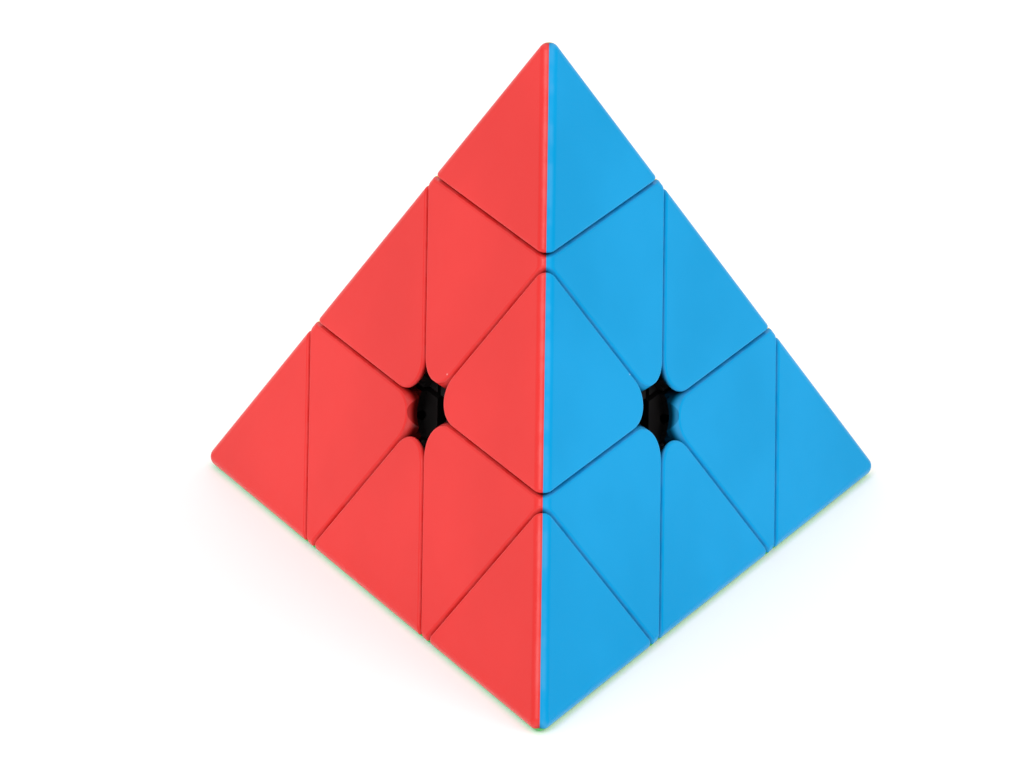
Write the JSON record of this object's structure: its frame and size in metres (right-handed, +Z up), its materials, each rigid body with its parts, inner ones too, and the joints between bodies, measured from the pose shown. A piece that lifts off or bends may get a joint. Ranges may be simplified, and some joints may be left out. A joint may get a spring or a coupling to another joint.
{
  "type": "pyramid twisty puzzle",
  "caption": "Stickerless tetrahedral twist puzzle: turning corner layers, trivial tips, two-colour edge pieces and a sprung spider core inside.",
  "frame": {"origin": "middle of the core, where the four turning axes cross, which is also the pyramid's centre", "axes": "+Z up along the top corner's turning axis, -Y towards the front corner, +X to the right; the green face is down"},
  "size_m": [0.0936, 0.0815, 0.077],
  "materials": {
    "red_plastic": "satin moulded",
    "blue_plastic": "satin moulded",
    "yellow_plastic": "satin moulded",
    "green_plastic": "satin moulded",
    "black_plastic": "fine matt moulded",
    "steel": "zinc plated",
    "brass": "turned"
  },
  "bodies": {
    "core": {"core_spider": "black_plastic", "thread_inserts": "brass", "axle_screws": "steel", "washers": "steel", "tension_springs": "steel"},
    "top_layer": {"top_axial_body": "black_plastic", "top_axial_yellow_cap": "yellow_plastic", "top_axial_blue_cap": "blue_plastic", "top_axial_red_cap": "red_plastic"},
    "top_tip": {"top_tip_body": "black_plastic", "top_tip_yellow_cap": "yellow_plastic", "top_tip_blue_cap": "blue_plastic", "top_tip_red_cap": "red_plastic"},
    "front_layer": {"front_axial_body": "black_plastic", "front_axial_green_cap": "green_plastic", "front_axial_blue_cap": "blue_plastic", "front_axial_red_cap": "red_plastic"},
    "front_tip": {"front_tip_body": "black_plastic", "front_tip_green_cap": "green_plastic", "front_tip_blue_cap": "blue_plastic", "front_tip_red_cap": "red_plastic"},
    "left_layer": {"left_axial_body": "black_plastic", "left_axial_green_cap": "green_plastic", "left_axial_yellow_cap": "yellow_plastic", "left_axial_red_cap": "red_plastic"},
    "left_tip": {"left_tip_body": "black_plastic", "left_tip_green_cap": "green_plastic", "left_tip_yellow_cap": "yellow_plastic", "left_tip_red_cap": "red_plastic"},
    "right_layer": {"right_axial_body": "black_plastic", "right_axial_green_cap": "green_plastic", "right_axial_yellow_cap": "yellow_plastic", "right_axial_blue_cap": "blue_plastic"},
    "right_tip": {"right_tip_body": "black_plastic", "right_tip_green_cap": "green_plastic", "right_tip_yellow_cap": "yellow_plastic", "right_tip_blue_cap": "blue_plastic"},
    "top_front_edge": {"top_front_edge_body": "black_plastic", "top_front_edge_blue_cap": "blue_plastic", "top_front_edge_red_cap": "red_plastic"},
    "top_left_edge": {"top_left_edge_body": "black_plastic", "top_left_edge_yellow_cap": "yellow_plastic", "top_left_edge_red_cap": "red_plastic"},
    "top_right_edge": {"top_right_edge_body": "black_plastic", "top_right_edge_yellow_cap": "yellow_plastic", "top_right_edge_blue_cap": "blue_plastic"},
    "front_left_edge": {"front_left_edge_body": "black_plastic", "front_left_edge_green_cap": "green_plastic", "front_left_edge_red_cap": "red_plastic"},
    "front_right_edge": {"front_right_edge_body": "black_plastic", "front_right_edge_green_cap": "green_plastic", "front_right_edge_blue_cap": "blue_plastic"},
    "left_right_edge": {"left_right_edge_body": "black_plastic", "left_right_edge_green_cap": "green_plastic", "left_right_edge_yellow_cap": "yellow_plastic"}
  },
  "joints": [
    {"name": "top_layer_turn", "type": "hinge", "parent": "core", "child": "top_layer", "pos_m": [0, 0, 0], "axis": [0, 0, 1], "continuous": true},
    {"name": "front_layer_turn", "type": "hinge", "parent": "core", "child": "front_layer", "pos_m": [0, 0, 0], "axis": [0, -0.9428, -0.3333], "range_deg": [-360, 360]},
    {"name": "left_layer_turn", "type": "hinge", "parent": "core", "child": "left_layer", "pos_m": [0, 0, 0], "axis": [-0.8165, 0.4714, -0.3333], "range_deg": [-360, 360]},
    {"name": "right_layer_turn", "type": "hinge", "parent": "core", "child": "right_layer", "pos_m": [0, 0, 0], "axis": [0.8165, 0.4714, -0.3333], "range_deg": [-360, 360]},
    {"name": "top_tip_turn", "type": "hinge", "parent": "top_layer", "child": "top_tip", "pos_m": [0, 0, 0], "axis": [0, 0, 1], "continuous": true},
    {"name": "front_tip_turn", "type": "hinge", "parent": "front_layer", "child": "front_tip", "pos_m": [0, 0, 0], "axis": [0, -0.9428, -0.3333], "continuous": true},
    {"name": "left_tip_turn", "type": "hinge", "parent": "left_layer", "child": "left_tip", "pos_m": [0, 0, 0], "axis": [-0.8165, 0.4714, -0.3333], "continuous": true},
    {"name": "right_tip_turn", "type": "hinge", "parent": "right_layer", "child": "right_tip", "pos_m": [0, 0, 0], "axis": [0.8165, 0.4714, -0.3333], "continuous": true},
    {"name": "top_front_edge_follow", "type": "hinge", "parent": "top_layer", "child": "top_front_edge", "pos_m": [0, 0, 0], "axis": [0, -0.9428, -0.3333], "range_deg": [-360, 360]},
    {"name": "top_left_edge_follow", "type": "hinge", "parent": "top_layer", "child": "top_left_edge", "pos_m": [0, 0, 0], "axis": [-0.8165, 0.4714, -0.3333], "range_deg": [-360, 360]},
    {"name": "top_right_edge_follow", "type": "hinge", "parent": "top_layer", "child": "top_right_edge", "pos_m": [0, 0, 0], "axis": [0.8165, 0.4714, -0.3333], "range_deg": [-360, 360]},
    {"name": "front_left_edge_follow", "type": "hinge", "parent": "front_layer", "child": "front_left_edge", "pos_m": [0, 0, 0], "axis": [-0.8165, 0.4714, -0.3333], "range_deg": [-360, 360]},
    {"name": "front_right_edge_follow", "type": "hinge", "parent": "front_layer", "child": "front_right_edge", "pos_m": [0, 0, 0], "axis": [0.8165, 0.4714, -0.3333], "range_deg": [-360, 360]},
    {"name": "left_right_edge_follow", "type": "hinge", "parent": "left_layer", "child": "left_right_edge", "pos_m": [0, 0, 0], "axis": [0.8165, 0.4714, -0.3333], "range_deg": [-360, 360]}
  ],
  "couplings": [
    {"joint": "top_front_edge_follow", "follows": "front_layer_turn", "ratio": 1},
    {"joint": "top_left_edge_follow", "follows": "left_layer_turn", "ratio": 1},
    {"joint": "top_right_edge_follow", "follows": "right_layer_turn", "ratio": 1},
    {"joint": "front_left_edge_follow", "follows": "left_layer_turn", "ratio": 1},
    {"joint": "front_right_edge_follow", "follows": "right_layer_turn", "ratio": 1},
    {"joint": "left_right_edge_follow", "follows": "right_layer_turn", "ratio": 1}
  ]
}
